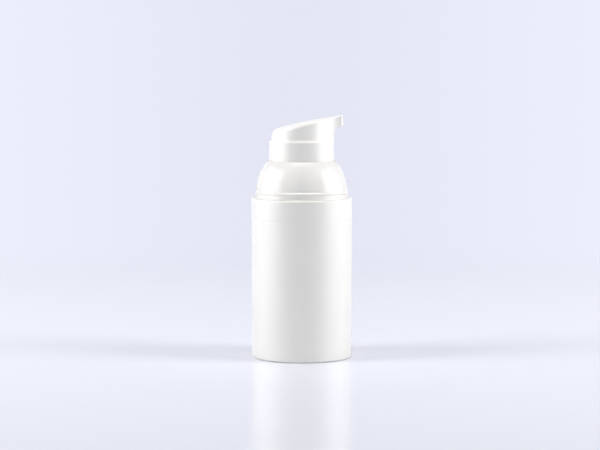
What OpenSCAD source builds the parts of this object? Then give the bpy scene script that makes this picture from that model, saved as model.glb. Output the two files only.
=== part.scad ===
// Airless pump bottle: a rigid white bottle whose floor piston rises as the pump draws the
// product out. Millimetres, +Z up, origin on the bottle's axis in the plane it stands on,
// spout towards +X.

/* [Bottle] */
// Outer diameter of the bottle, at its upper band
body_d = 35; // [33:0.5:38]
// Height of the bottle from foot to rim
body_h = 55.5; // [52:0.5:70]
// Wall of the bottle around the reservoir
bottle_wall = 1.9; // [1.5:0.1:2.3]
// Thickness of the bottle's floor
floor_t = 1.3; // [1:0.1:2]
// Depth of the hollow under the floor
base_recess = 0.7; // [0.4:0.1:1.2]
// Width of the ring that the bottle stands on
foot_w = 2.4; // [1.8:0.1:3.5]
// Radius of the bottle's outer edge at the foot
foot_round = 0.7; // [0.4:0.1:1]
// Radius of the bottle's outer edge at the rim
rim_round = 0.4; // [0.2:0.05:0.6]
// Radius of the corner between floor and wall inside
inner_round = 1; // [0.5:0.1:1.5]
// Diameter of the vent hole in the floor
vent_d = 1.2; // [0.8:0.1:2]
// Height of the upper band
band_h = 6.9; // [5:0.1:8]
// How far the upper band stands proud of the body
band_step = 0.08; // [0.04:0.01:0.2]
// How much the body's radius shrinks from band to foot, for the mould
body_draft = 0.07; // [0:0.01:0.2]

/* [Mouth] */
// Depth of the wider mouth that takes the collar
mouth_depth = 7.3; // [6.8:0.1:9]
// Width of the shelf that carries the gasket
shelf_w = 0.48; // [0.4:0.02:0.8]
// Chamfer at the mouth's inner edge
mouth_chamfer = 0.3; // [0.1:0.05:0.5]
// How far the collar's snap ring stands out
snap_proud = 0.25; // [0.15:0.05:0.4]
// Height of the collar's snap ring
snap_h = 0.8; // [0.6:0.1:1]
// Depth of the snap ring's middle below the bottle's rim
snap_drop = 2.6; // [2:0.1:3.2]
// Width of the gasket
gasket_w = 1.5; // [1.2:0.1:2]
// Thickness of the gasket
gasket_t = 1; // [0.8:0.1:1.2]

/* [Collar] */
// Wall of the collar
collar_wall = 1.4; // [1.1:0.1:1.7]
// Height of the plain neck between the bottle's rim and the bead
neck_h = 1.6; // [1.2:0.1:2.4]
// Height of the bead that an overcap snaps onto
bead_h = 1.1; // [0.9:0.1:1.4]
// How far the bead stands proud of the neck
bead_proud = 0.35; // [0.25:0.05:0.5]
// How far the dome's sphere lies inside the neck
dome_inset = 0.12; // [0.05:0.01:0.2]
// Width of the flat lip around the collar's opening
lip_w = 0.25; // [0.2:0.05:0.4]
// Wall of the sleeve that guides the head
guide_wall = 1; // [0.8:0.1:1.3]
// Depth of the guide sleeve below the lip
guide_depth = 8; // [7:0.5:9]

/* [Head] */
// Outer diameter of the head's skirt
skirt_d = 22.5; // [21.5:0.1:23.5]
// Wall of the skirt
skirt_wall = 1.1; // [0.9:0.1:1.4]
// Height of the skirt's shoulder above the collar's lip
skirt_show = 6.9; // [6.2:0.1:8]
// Depth of the skirt below the collar's lip
skirt_hidden = 5.9; // [5:0.1:6.5]
// How far the head's wall stands back from the skirt
shoulder_w = 0.75; // [0.6:0.05:1]
// Radius of the skirt's upper edge
shoulder_round = 0.35; // [0.2:0.05:0.4]
// Radius of the hollow that runs from the skirt's edge up into the head's wall
cove_round = 1.6; // [1.2:0.1:2.2]
// Height of the finger pad above the shoulder, on the axis
pad_rise = 6.1; // [5.8:0.05:7]
// Slope of the finger pad in degrees
pad_slope = 11.8; // [10:0.1:14]
// How far the pad's middle stands above a straight line from back to tip
pad_crown = 0.2; // [0.1:0.05:0.4]
// Thickness of the head's top wall
pad_wall = 1.4; // [1.2:0.1:1.6]
// Thickness of the head's side wall
head_wall = 1.3; // [1.1:0.1:1.5]
// Lean of the head's side wall in degrees
head_lean = 2; // [0.5:0.1:3]
// Radius of the edge around the pad at the back
edge_round = 1.9; // [1.4:0.05:2]
// Radius of the edge around the pad at the tip
tip_edge_round = 0.45; // [0.3:0.05:0.5]

/* [Spout] */
// Distance from the axis to the spout's end
spout_reach = 14.8; // [14:0.1:16]
// Width of the spout at its end
spout_w = 5.2; // [4.6:0.1:6]
// Radius of the hollow sides that run from the head into the spout
flare_r = 8; // [7:0.1:9]
// Radius of the spout's upright corners
tip_round = 1.3; // [1:0.05:1.5]
// Height of the spout's root above the shoulder
root_rise = 2.2; // [1.9:0.1:2.6]
// Radius of the hollow under the spout
root_round = 2.9; // [2.5:0.1:3.2]
// Slope of the spout's underside in degrees
under_slope = 28; // [24:1:32]
// Diameter of the outlet channel
channel_d = 1.6; // [1.3:0.1:1.8]
// Depth of the outlet channel's axis below the pad
channel_drop = 1.75; // [1.6:0.05:1.9]
// Wall around the outlet channel
channel_wall = 0.8; // [0.6:0.1:0.9]

/* [Pump] */
// Travel of the head when it is pressed
stroke = 4.5; // [3.5:0.1:4.8]
// Travel of the stem that opens the pump piston
port_travel = 0.8; // [0.6:0.1:1]
// Inner diameter of the pump chamber
chamber_d = 9.4; // [9:0.1:10]
// Wall of the pump chamber
chamber_wall = 1; // [0.8:0.1:1.2]
// Thickness of the disc that closes the reservoir
disc_t = 1.2; // [1:0.1:1.5]
// Height of the pump chamber's tower above the disc
tower_h = 9.8; // [9:0.1:10.2]
// Number of ribs between the disc and the tower
disc_ribs = 6; // [3:1:8]
// Height of the pump piston
piston_h = 4; // [3.6:0.1:4.4]
// Diameter of the inlet ball
ball_d = 3.2; // [2.8:0.1:3.6]
// Lift of the inlet ball
ball_lift = 0.9; // [0.6:0.1:1.2]
// Diameter of the inlet hole
inlet_d = 1.8; // [1.4:0.1:2]

/* [Stem and spring] */
// Outer diameter of the stem
stem_d = 5.2; // [4.9:0.1:5.4]
// Diameter of the stem's bore
stem_bore_d = 3; // [2.6:0.1:3.2]
// Length of stem inside the head's socket
socket_depth = 4.9; // [4:0.1:5.2]
// Wall of the head's socket
socket_wall = 1.35; // [1:0.05:1.5]
// Thickness of the flange that the spring presses on
flange_t = 0.9; // [0.7:0.1:1.2]
// Diameter of the spring's wire
wire_d = 0.7; // [0.5:0.05:0.8]
// Mean diameter of the spring
coil_d = 9.7; // [9.4:0.1:10]
// Number of turns in the spring
coil_turns = 6; // [5:0.5:6.5]

/* [Follower] */
// Depth that the follower's well keeps spare under the pump when it is right up
well_spare = 1; // [0.8:0.1:2.5]
// Wall of the follower piston
follower_wall = 1; // [0.8:0.1:1.2]
// Width of the groove behind the follower's lips
lip_groove = 0.8; // [0.6:0.1:1]
// Height of a sealing lip on the follower
lip_h = 1.6; // [1.2:0.1:2]

/* [Clearances] */
// Radial clearance of a part that turns or slides on a shaft
running_gap = 0.05; // [0.02:0.01:0.08]
// Radial clearance of a lip in its bore
lip_gap = 0.04; // [0.02:0.01:0.08]
// Radial clearance of a plug pressed into its seat
plug_gap = 0.02; // [0.01:0.01:0.04]
// Gap between parts that move past each other
free_gap = 0.3; // [0.2:0.05:0.4]
// Gap between the head's skirt and the collar
head_gap = 0.2; // [0.15:0.05:0.3]

/* [Hidden] */
$fn = 144;
// How far a cut runs past the face that it opens
cut = 1;
// Overlap that joins two shapes of one piece
weld = 0.01;

// Bottle
body_r = body_d / 2;
wall_r = body_r - band_step;
bore_r = wall_r - bottle_wall;
mouth_r = bore_r + shelf_w;
floor_z = base_recess + floor_t;
seam_z = body_h - band_h;
shelf_z = body_h - mouth_depth;
snap_z = body_h - snap_drop;
foot_lead = base_recess;

// Mouth: gasket on the shelf, then the housing's disc, then the collar's plug
gasket_r = mouth_r - running_gap;
disc_z = shelf_z + gasket_t;
disc_top_z = disc_z + disc_t;
disc_r = mouth_r - 2 * running_gap;

// Collar
neck_r = mouth_r - plug_gap;
bead_z = body_h + neck_h;
dome_z = bead_z + bead_h / 2;
dome_r = neck_r - dome_inset;
skirt_r = skirt_d / 2;
opening_r = skirt_r + head_gap;
lip_r = opening_r + lip_w;
lip_z = dome_z + sqrt(dome_r * dome_r - lip_r * lip_r);

// Head
skirt_z = lip_z - skirt_hidden;
shoulder_z = lip_z + skirt_show;
head_r = skirt_r - shoulder_w;
cavity_r = head_r - head_wall;
pad_mid_z = shoulder_z + pad_rise;
pad_half = (spout_reach + head_r) / 2;
pad_x = (spout_reach - head_r) / 2;
root_z = shoulder_z + root_rise;
cove_a = acos(1 - (shoulder_w - shoulder_round) / cove_round);
cove_h = cove_round * sin(cove_a);
head_base_z = shoulder_z - cove_h / 2;

// Spout in plan: hollow sides tangent to the head's circle, round corners at the tip
flare_y = spout_w / 2 + flare_r;
flare_x = sqrt(pow(head_r + flare_r, 2) - flare_y * flare_y);
flare_a = atan2(flare_y, flare_x);
tip_a = asin((flare_x + tip_round - spout_reach) / (flare_r + tip_round));
tip_x = spout_reach - tip_round;
tip_y = flare_y - (flare_r + tip_round) * cos(tip_a);

// Stem and spring
channel_r = channel_d / 2;
channel_z = pad_mid_z - channel_drop / cos(pad_slope);
stem_r = stem_d / 2;
stem_bore_r = stem_bore_d / 2;
stem_top_z = channel_z - 2 * channel_r;
socket_z = stem_top_z - socket_depth;
socket_r = stem_r + running_gap + socket_wall;
stem_bead_z = socket_z + socket_depth / 2;
stem_bead_proud = 0.2;
stem_bead_h = 0.6;
flange_top_z = socket_z - free_gap;
flange_z = flange_top_z - flange_t;
coil_r = coil_d / 2;
flange_r = coil_r + wire_d;
centring_h = 0.8;
centring_r = coil_r - wire_d / 2 - free_gap;

// Pump chamber, counted down from the top of the tower
chamber_r = chamber_d / 2;
tower_r = chamber_r + chamber_wall;
tower_z = disc_top_z + tower_h;
guide_plug_h = 1.3;
guide_flange_t = 1;
guide_skirt_h = 3;
guide_skirt_wall = 0.8;
guide_top_z = tower_z + guide_flange_t;
piston_top_z = tower_z - guide_plug_h - port_travel - free_gap;
piston_z = piston_top_z - piston_h;
piston_wall = 0.65;
seat_lip = 0.5;
seat_r = stem_r - seat_lip;
seat_h = 0.6;
stop_z = piston_z + 2 * seat_h;
stem_z = stop_z + port_travel;
rod_head_h = 1.8;
chamber_floor_z = piston_z - rod_head_h - stroke - free_gap;

// Inlet: the ball rests on a 45 degree seat and is kept in by nibs
ball_r = ball_d / 2;
inlet_r = inlet_d / 2;
nib_h = 0.5;
nib_count = 4;
pocket_r = ball_r + free_gap;
nib_hold = 0.2;
nib_r = ball_r - nib_hold;
ball_z = chamber_floor_z - nib_h - ball_lift - ball_r;
cone_rest_z = ball_z - sqrt(2) * (ball_r + running_gap);
cone_z = cone_rest_z + inlet_r;
pocket_z = cone_rest_z + pocket_r;
inlet_land = 0.8;
inlet_z = cone_z - inlet_land;
pocket_wall = 0.9;

// Follower
residual = 0.9;
well_r = tower_r + 2 * free_gap;
well_depth = disc_z - residual - inlet_z + well_spare;
well_z = floor_z + free_gap + follower_wall;
follower_top_z = well_z + well_depth;
follower_z = floor_z + inner_round + free_gap / 2;
crown_r = bore_r - lip_gap - follower_wall - lip_groove;
crown_drop = 0.7;
web_z = (follower_z + follower_top_z) / 2 - follower_wall;

// Points along an arc in the plane, as the angle goes from a0 to a1
function arc(c, r, a0, a1, n = 8) =
    [for (i = [0 : n]) c + r * [cos(a0 + (a1 - a0) * i / n), sin(a0 + (a1 - a0) * i / n)]];

function but_first(v) = [for (i = [1 : len(v) - 1]) v[i]];

// A rectangle in the plane that is revolved, from radius r0 to r1 and height z0 to z1
module ring(r0, r1, z0, z1) {
    translate([r0, z0]) square([r1 - r0, z1 - z0]);
}

// A raised band on a cylinder's outside, bevelled at both edges
module band(r, proud, z_mid, h) {
    bevel = min(proud, h / 3);
    polygon([
        [r - proud, z_mid - h / 2],
        [r, z_mid - h / 2],
        [r + proud, z_mid - h / 2 + bevel],
        [r + proud, z_mid + h / 2 - bevel],
        [r, z_mid + h / 2],
        [r - proud, z_mid + h / 2]
    ]);
}

module bottle_profile() {
    foot_r = wall_r - body_draft;
    polygon(concat(
        [[foot_r - foot_w, 0]],
        arc([foot_r - foot_round, foot_round], foot_round, -90, 0),
        [[wall_r, seam_z - band_step], [body_r, seam_z]],
        arc([body_r - rim_round, body_h - rim_round], rim_round, 0, 90),
        [[mouth_r + mouth_chamfer, body_h], [mouth_r, body_h - mouth_chamfer]],
        [[mouth_r, shelf_z], [bore_r, shelf_z]],
        arc([bore_r - inner_round, floor_z + inner_round], inner_round, 0, -90),
        [[vent_d / 2, floor_z], [vent_d / 2, base_recess]],
        [[foot_r - foot_w - foot_lead, base_recess]]
    ));
}

module bottle_body() {
    color("white") rotate_extrude() difference() {
        bottle_profile();
        band(mouth_r, snap_proud + plug_gap, snap_z, snap_h + 2 * running_gap);
    }
}

module follower_piston() {
    lip_r1 = bore_r - lip_gap;
    waist_r = lip_r1 - follower_wall / 4;
    inner_r = lip_r1 - follower_wall;
    lip_top_z = follower_top_z - crown_drop;
    color("whitesmoke") rotate_extrude() {
        ring(0, well_r + follower_wall, well_z - follower_wall, well_z);
        ring(well_r, well_r + follower_wall, well_z - follower_wall, follower_top_z);
        ring(well_r, crown_r, follower_top_z - follower_wall, follower_top_z);
        ring(crown_r - follower_wall, crown_r, web_z, follower_top_z);
        ring(crown_r - follower_wall, waist_r, web_z, web_z + follower_wall);
        // Sealing sleeve: both ends widen into thin lips
        polygon([
            [inner_r, follower_z + lip_h],
            [inner_r + follower_wall / 2, follower_z],
            [lip_r1, follower_z],
            [lip_r1, follower_z + lip_h / 4],
            [waist_r, follower_z + lip_h],
            [waist_r, lip_top_z - lip_h],
            [lip_r1, lip_top_z - lip_h / 4],
            [lip_r1, lip_top_z],
            [inner_r + follower_wall / 2, lip_top_z],
            [inner_r, lip_top_z - lip_h]
        ]);
    }
}

module mouth_gasket() {
    color("gainsboro") rotate_extrude() ring(gasket_r - gasket_w, gasket_r, shelf_z, disc_z);
}

// Pocket under the chamber: hole, 45 degree seat and the space around the ball
module inlet_profile() {
    polygon([
        [0, inlet_z - cut],
        [inlet_r, inlet_z - cut],
        [inlet_r, cone_z],
        [pocket_r, pocket_z],
        [pocket_r, chamber_floor_z - nib_h],
        [0, chamber_floor_z - nib_h]
    ]);
}

module pump_housing() {
    rib_t = 0.8;
    rib_h = 2.4;
    centring_wall = 1;
    ring_r = neck_r - collar_wall - free_gap;
    rib_x0 = tower_r - chamber_wall / 2;
    rib_x1 = ring_r - centring_wall / 2;
    color("ghostwhite") difference() {
        union() {
            rotate_extrude() {
                ring(0, disc_r, disc_z, disc_top_z);
                ring(0, tower_r, chamber_floor_z - chamber_wall, tower_z);
                ring(0, pocket_r + pocket_wall, inlet_z, chamber_floor_z);
                ring(ring_r - centring_wall, ring_r, disc_z, disc_top_z + rib_h / 2);
            }
            for (i = [0 : disc_ribs - 1])
                rotate(i * 360 / disc_ribs)
                    translate([rib_x0, -rib_t / 2, disc_z])
                        cube([rib_x1 - rib_x0, rib_t, disc_t + rib_h]);
        }
        rotate_extrude() {
            ring(0, chamber_r, chamber_floor_z, tower_z + cut);
            inlet_profile();
            ring(0, nib_r, chamber_floor_z - nib_h - weld, chamber_floor_z + weld);
        }
        // Between the nibs the pocket stays open, so that liquid passes the lifted ball
        for (i = [0 : nib_count - 1])
            rotate(i * 360 / nib_count)
                translate([0, -nib_r / 2, chamber_floor_z - nib_h - weld])
                    cube([pocket_r, nib_r, nib_h + 2 * weld]);
    }
}

module inlet_ball() {
    color("silver") translate([0, 0, ball_z]) sphere(ball_r);
}

module pump_piston() {
    lip_r1 = chamber_r - lip_gap;
    lip_t = 0.5;
    waist_r = lip_r1 - lip_t / 3;
    lip_end = piston_h / 2 - free_gap;
    lip_len = lip_end - lip_t;
    bore_top_r = stem_r + running_gap;
    sleeve_r = bore_top_r + piston_wall;
    mid_z = piston_z + piston_h / 2;
    color("whitesmoke") rotate_extrude() {
        difference() {
            ring(seat_r, sleeve_r, piston_z, piston_top_z);
            ring(0, bore_top_r, stop_z, piston_top_z + cut);
            polygon([
                [seat_r - cut, piston_z - cut],
                [seat_r + seat_h + cut, piston_z - cut],
                [seat_r, piston_z + seat_h],
                [seat_r - cut, piston_z + seat_h]
            ]);
        }
        ring(sleeve_r - lip_t / 2, lip_r1 - lip_t, mid_z - lip_t, mid_z + lip_t);
        polygon([
            [waist_r, mid_z],
            [lip_r1, mid_z + lip_len],
            [lip_r1, mid_z + lip_end],
            [lip_r1 - lip_t / 2, mid_z + lip_end],
            [waist_r - lip_t, mid_z + lip_t],
            [waist_r - lip_t, mid_z - lip_t],
            [lip_r1 - lip_t / 2, mid_z - lip_end],
            [lip_r1, mid_z - lip_end],
            [lip_r1, mid_z - lip_len]
        ]);
    }
}

// Headed rod pressed into the stem: its cone closes the piston's seat from below
module piston_rod() {
    plug_r = stem_bore_r - plug_gap;
    plug_h = 4.6;
    plug_lead = 0.4;
    head_lead = 0.8;
    head_r1 = seat_r + seat_h + head_lead / 2;
    cone_top_z = piston_z + seat_h + seat_r - sqrt(2) * running_gap;
    flute_w = 0.9;
    flute_d = 0.6;
    color("ghostwhite") difference() {
        rotate_extrude() polygon([
            [0, piston_z - rod_head_h],
            [head_r1 - head_lead, piston_z - rod_head_h],
            [head_r1, piston_z - rod_head_h + head_lead],
            [head_r1, cone_top_z - head_r1],
            [plug_r, cone_top_z - plug_r],
            [plug_r, stem_z + plug_h - plug_lead],
            [plug_r - plug_lead, stem_z + plug_h],
            [0, stem_z + plug_h]
        ]);
        for (a = [0 : 90 : 270])
            rotate(a)
                translate([plug_r - flute_d, -flute_w / 2, cone_top_z - plug_r + weld])
                    cube([flute_d + cut, flute_w, stem_z + plug_h]);
    }
}

module stem() {
    color("ghostwhite") rotate_extrude() {
        ring(stem_bore_r, stem_r, stem_z, stem_top_z);
        ring(stem_bore_r, flange_r, flange_z, flange_top_z);
        ring(stem_bore_r, centring_r, flange_z - centring_h, flange_top_z);
        band(stem_r, stem_bead_proud, stem_bead_z, stem_bead_h);
    }
}

// Guide ring: closes the tower, guides the stem and carries the spring
module guide_ring() {
    bore = stem_r + running_gap;
    clip_r = tower_r + plug_gap;
    color("ghostwhite") rotate_extrude() {
        ring(bore, chamber_r - plug_gap, tower_z - guide_plug_h, guide_top_z);
        ring(bore, clip_r + guide_skirt_wall, tower_z, guide_top_z);
        ring(clip_r, clip_r + guide_skirt_wall, tower_z - guide_skirt_h, guide_top_z);
        ring(bore, centring_r, tower_z, guide_top_z + centring_h);
    }
}

// Spring: one unbroken wire on a helix whose pitch narrows towards both ends
coil_seat_gap = 0.03;
coil_rings = 16;
coil_sides = 6;
coil_n = round(coil_turns * coil_rings);
coil_h = flange_z - guide_top_z - wire_d - 2 * coil_seat_gap;
coil_z = guide_top_z + wire_d / 2 + coil_seat_gap;
coil_narrowing = 0.25;

function coil_centre(i) =
    let (t = i / coil_n, a = 360 * i / coil_rings)
    [
        coil_r * cos(a),
        coil_r * sin(a),
        coil_z + coil_h * (t - coil_narrowing * sin(360 * t) / (2 * PI))
    ];
function coil_section(i) =
    let (a = 360 * i / coil_rings, c = coil_centre(i))
    [for (k = [0 : coil_sides - 1])
        let (b = 360 * k / coil_sides)
        c + wire_d / 2 * [cos(b) * cos(a), cos(b) * sin(a), sin(b)]];
coil_gap = min([for (i = [0 : coil_n - coil_rings])
    norm(coil_centre(i + coil_rings) - coil_centre(i))]) - wire_d;

module return_spring() {
    last = coil_n * coil_sides;
    color("silver") polyhedron(
        points = [for (i = [0 : coil_n]) each coil_section(i)],
        faces = concat(
            [[for (k = [0 : coil_sides - 1]) k]],
            [[for (k = [coil_sides - 1 : -1 : 0]) last + k]],
            [for (i = [0 : coil_n - 1], k = [0 : coil_sides - 1])
                let (a = i * coil_sides + k, b = i * coil_sides + (k + 1) % coil_sides)
                each [[a, a + coil_sides, b], [b, a + coil_sides, b + coil_sides]]]
        )
    );
}

// Collar: plug in the bottle's mouth, neck, bead, dome and the sleeve that guides the head
module shoulder_collar() {
    inner_r = neck_r - collar_wall;
    sleeve_top_z = dome_z + sqrt(inner_r * inner_r - opening_r * opening_r) + lip_w;
    color("white") rotate_extrude() {
        ring(inner_r, neck_r, disc_top_z, bead_z + bead_h / 2);
        band(neck_r, snap_proud, snap_z, snap_h);
        polygon([
            [inner_r + collar_wall / 2, bead_z],
            [neck_r, bead_z],
            [neck_r + bead_proud, bead_z + bead_proud],
            [neck_r + bead_proud, bead_z + bead_h - bead_proud],
            [dome_r, bead_z + bead_h],
            [inner_r + collar_wall / 2, bead_z + bead_h]
        ]);
        intersection() {
            translate([0, dome_z]) difference() {
                circle(dome_r);
                circle(inner_r);
            }
            ring(opening_r, body_r, dome_z, lip_z);
        }
        ring(opening_r, opening_r + guide_wall, lip_z - guide_depth, sleeve_top_z);
    }
}

// Height of the finger pad at x: a sloping line with a slight crown
function pad_z(x) =
    pad_mid_z + x * tan(pad_slope)
    + pad_crown * (pow(pad_x / pad_half, 2) - pow((x - pad_x) / pad_half, 2));

// Radius of the pad's edge at x, smaller towards the tip
function pad_edge(x) =
    edge_round + (tip_edge_round - edge_round) * (x + head_r) / (spout_reach + head_r);

// Half of the head's outline in plan from tip to back, as points with their outward normals.
// A negative radius is a hollow arc.
function outline_arc(c, r, a0, a1, n) =
    [for (i = [0 : n]) let (a = a0 + (a1 - a0) * i / n, u = [cos(a), sin(a)]) [c + r * u, u]];
half_outline = concat(
    outline_arc([tip_x, tip_y], tip_round, 0, 90 - tip_a, 6),
    but_first(outline_arc([flare_x, flare_y], -flare_r, 90 - tip_a, flare_a, 14)),
    but_first(outline_arc([0, 0], head_r, flare_a, 180, 32))
);
half_n = len(half_outline);
flip = [1, -1];
function mirrored(e) = [[for (i = [0, 1]) e[0][i] * flip[i]], [for (i = [0, 1]) e[1][i] * flip[i]]];
outline = concat(half_outline, [for (i = [half_n - 2 : -1 : 0]) mirrored(half_outline[i])]);

// One point of the head's skin: level 0 is the base, then the wall's top and the round edge
edge_steps = 7;
function head_point(e, level) =
    let (
        p = e[0],
        edge = pad_edge(p[0]),
        turn = 90 * (level - 1) / edge_steps,
        lean = (pad_z(p[0]) - edge - head_base_z) * tan(head_lean),
        inset = level == 0 ? 0 : lean + edge * (1 - cos(turn)),
        q = p - inset * e[1]
    )
    [q[0], q[1], level == 0 ? head_base_z : pad_z(q[0]) - edge * (1 - sin(turn))];

// Head's outer form: the outline raised to the crowned, sloping pad with a rolled edge
module head_form() {
    n = len(outline);
    top = (edge_steps + 1) * n;
    polyhedron(
        points = [for (level = [0 : edge_steps + 1]) each [for (e = outline) head_point(e, level)]],
        faces = concat(
            [for (level = [0 : edge_steps], i = [0 : n - 1])
                let (a = level * n + i, b = level * n + (i + 1) % n)
                each [[a, a + n, b], [b, a + n, b + n]]],
            [for (i = [0 : half_n - 2])
                let (a = i, b = i + 1, c = n - 1 - i, d = n - 2 - i)
                each b == d ? [[a, b, c]] : [[a, b, c], [b, d, c]]],
            [for (i = [0 : half_n - 2])
                let (a = top + i, b = top + i + 1, c = top + n - 1 - i, d = top + n - 2 - i)
                each b == d ? [[a, c, b]] : [[a, c, b], [b, c, d]]]
        )
    );
}

// Skirt with a round upper edge, and the hollow from there up into the head's wall
module skirt_profile() {
    edge = [skirt_r - shoulder_round, shoulder_z - shoulder_round];
    cove = [head_r + cove_round, shoulder_z + cove_h];
    polygon(concat(
        [[0, skirt_z], [skirt_r, skirt_z]],
        arc(edge, shoulder_round, 0, 90),
        but_first(arc(cove, cove_round, 180 + cove_a, 180)),
        [[0, shoulder_z + cove_h]]
    ));
}

// Space under and outside the spout, revolved: upright root, hollow round, sloping underside
module under_spout() {
    end_a = 90 + under_slope;
    start = [skirt_r + root_round, root_z];
    turn = arc(start, root_round, 180, end_a);
    rise = (2 * body_r - turn[len(turn) - 1][0]) * tan(under_slope);
    rotate_extrude() polygon(concat(
        [[2 * body_r, head_base_z - cut], [skirt_r, head_base_z - cut]],
        turn,
        [[2 * body_r, turn[len(turn) - 1][1] + rise]]
    ));
}

// Hollow of the head: wide in the skirt, narrower above the shoulder, under a sloping roof
module head_hollow() {
    rotate_extrude() {
        ring(0, skirt_r - skirt_wall, skirt_z - cut, shoulder_z - cove_h);
        polygon([
            [0, shoulder_z - cove_h - weld],
            [skirt_r - skirt_wall, shoulder_z - cove_h - weld],
            [cavity_r, shoulder_z],
            [0, shoulder_z]
        ]);
    }
    intersection() {
        translate([0, 0, shoulder_z - weld]) cylinder(r = cavity_r, h = pad_rise + cavity_r);
        translate([0, 0, pad_mid_z - pad_wall])
            rotate([0, -pad_slope, 0])
                translate([-body_d, -body_d, -body_d]) cube([2 * body_d, 2 * body_d, body_d]);
    }
}

// A cylinder along the outlet channel, from the axis towards the tip
module along_channel(r, length) {
    translate([0, 0, channel_z]) rotate([0, 90 - pad_slope, 0]) cylinder(r = r, h = length);
}

// What stands inside the hollow: stem socket, channel wall and ribs
module head_core() {
    rib_t = 0.9;
    translate([0, 0, socket_z]) cylinder(r = socket_r, h = pad_mid_z - socket_z);
    along_channel(channel_r + channel_wall, spout_reach - tip_round);
    for (a = [60 : 60 : 300])
        rotate(a)
            translate([0, -rib_t / 2, shoulder_z])
                cube([cavity_r + head_wall / 2, rib_t, pad_rise + head_r]);
}

module actuator() {
    socket_bore = stem_r + running_gap;
    color("white") difference() {
        union() {
            rotate_extrude() skirt_profile();
            difference() {
                head_form();
                under_spout();
            }
        }
        difference() {
            head_hollow();
            head_core();
        }
        rotate_extrude() {
            ring(0, socket_bore, socket_z - cut, stem_top_z);
            band(socket_bore, stem_bead_proud, stem_bead_z, stem_bead_h + 2 * running_gap);
            ring(0, stem_bore_r, stem_top_z - weld, channel_z);
        }
        along_channel(channel_r, 2 * spout_reach);
    }
}

echo(reservoir_ml = PI * bore_r * bore_r * (disc_z - follower_top_z) / 1000);
echo(spring_gap = coil_gap);
echo(follower_travel = min(
    disc_z - residual - follower_top_z,
    shelf_z - 2 * free_gap - follower_top_z + crown_drop
));
echo(overall_height = pad_z(spout_reach));

bottle_body();
follower_piston();
mouth_gasket();
pump_housing();
inlet_ball();
pump_piston();
piston_rod();
stem();
guide_ring();
return_spring();
shoulder_collar();
actuator();
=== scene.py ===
import math

import bmesh
import bpy
from mathutils import Matrix, Vector


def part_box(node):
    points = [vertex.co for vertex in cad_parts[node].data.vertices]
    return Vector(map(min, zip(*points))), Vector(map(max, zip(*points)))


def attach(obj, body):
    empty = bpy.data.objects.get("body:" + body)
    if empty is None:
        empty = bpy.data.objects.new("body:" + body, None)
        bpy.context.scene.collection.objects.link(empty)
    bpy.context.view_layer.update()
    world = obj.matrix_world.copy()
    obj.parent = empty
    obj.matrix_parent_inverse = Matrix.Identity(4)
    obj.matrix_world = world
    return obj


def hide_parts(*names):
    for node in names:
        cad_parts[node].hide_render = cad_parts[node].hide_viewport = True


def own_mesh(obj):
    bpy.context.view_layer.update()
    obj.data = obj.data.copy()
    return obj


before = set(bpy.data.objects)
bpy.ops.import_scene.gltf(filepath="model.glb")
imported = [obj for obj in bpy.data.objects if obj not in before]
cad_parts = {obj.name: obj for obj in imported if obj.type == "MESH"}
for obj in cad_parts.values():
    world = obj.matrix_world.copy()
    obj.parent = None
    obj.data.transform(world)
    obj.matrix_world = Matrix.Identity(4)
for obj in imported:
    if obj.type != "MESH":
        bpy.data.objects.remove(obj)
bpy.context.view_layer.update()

MM = 0.001


def top_mm(node):
    """Highest corner of a CAD node's box, in millimetres."""
    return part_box(node)[1] / MM


def foot_mm(node):
    """Lowest corner of a CAD node's box, in millimetres."""
    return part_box(node)[0] / MM


# Bottle, in millimetres
BODY_R = top_mm("bottle_body").x
BODY_H = top_mm("bottle_body").z
BAND_H = 6.9
BAND_STEP = 0.08
SEAM_LIP = 0.05
SEAM_FALL = 0.22
BODY_DRAFT = 0.07
BOTTLE_WALL = 1.9
FLOOR_T = 1.3
BASE_RECESS = 0.7
FOOT_W = 2.4
FOOT_ROUND = 0.7
RIM_ROUND = 0.8
CORNER_IN = 1.0
VENT_R = 0.6
MOUTH_DEPTH = 7.3
SHELF_W = 0.48
MOUTH_CHAMFER = 0.3
WALL_R = BODY_R - BAND_STEP
FOOT_R = WALL_R - BODY_DRAFT
BORE_R = WALL_R - BOTTLE_WALL
MOUTH_R = BORE_R + SHELF_W
SEAM_Z = BODY_H - BAND_H
SHELF_Z = BODY_H - MOUTH_DEPTH

# Collar's snap ring and its groove in the bottle's mouth
SNAP_PROUD = 0.25
SNAP_H = 0.8
SNAP_Z = BODY_H - 2.6
PLUG_GAP = 0.02
RUNNING_GAP = 0.05

# Collar
BEAD_R = top_mm("shoulder_collar").x
LIP_Z = top_mm("shoulder_collar").z
PLUG_Z = foot_mm("shoulder_collar").z
NECK_R = MOUTH_R - PLUG_GAP
COLLAR_WALL = 1.4
NECK_H = 1.6
NECK_COVE = 0.6
BEAD_H = 1.1
BEAD_PROUD = BEAD_R - NECK_R
DOME_R = NECK_R - 0.12
LIP_W = 0.25
LIP_ROUND = 0.12
HEAD_GAP = 0.2
GUIDE_WALL = 1.0
GUIDE_DEPTH = 8.0
BEAD_Z = BODY_H + NECK_H
DOME_Z = BEAD_Z + BEAD_H / 2

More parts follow.
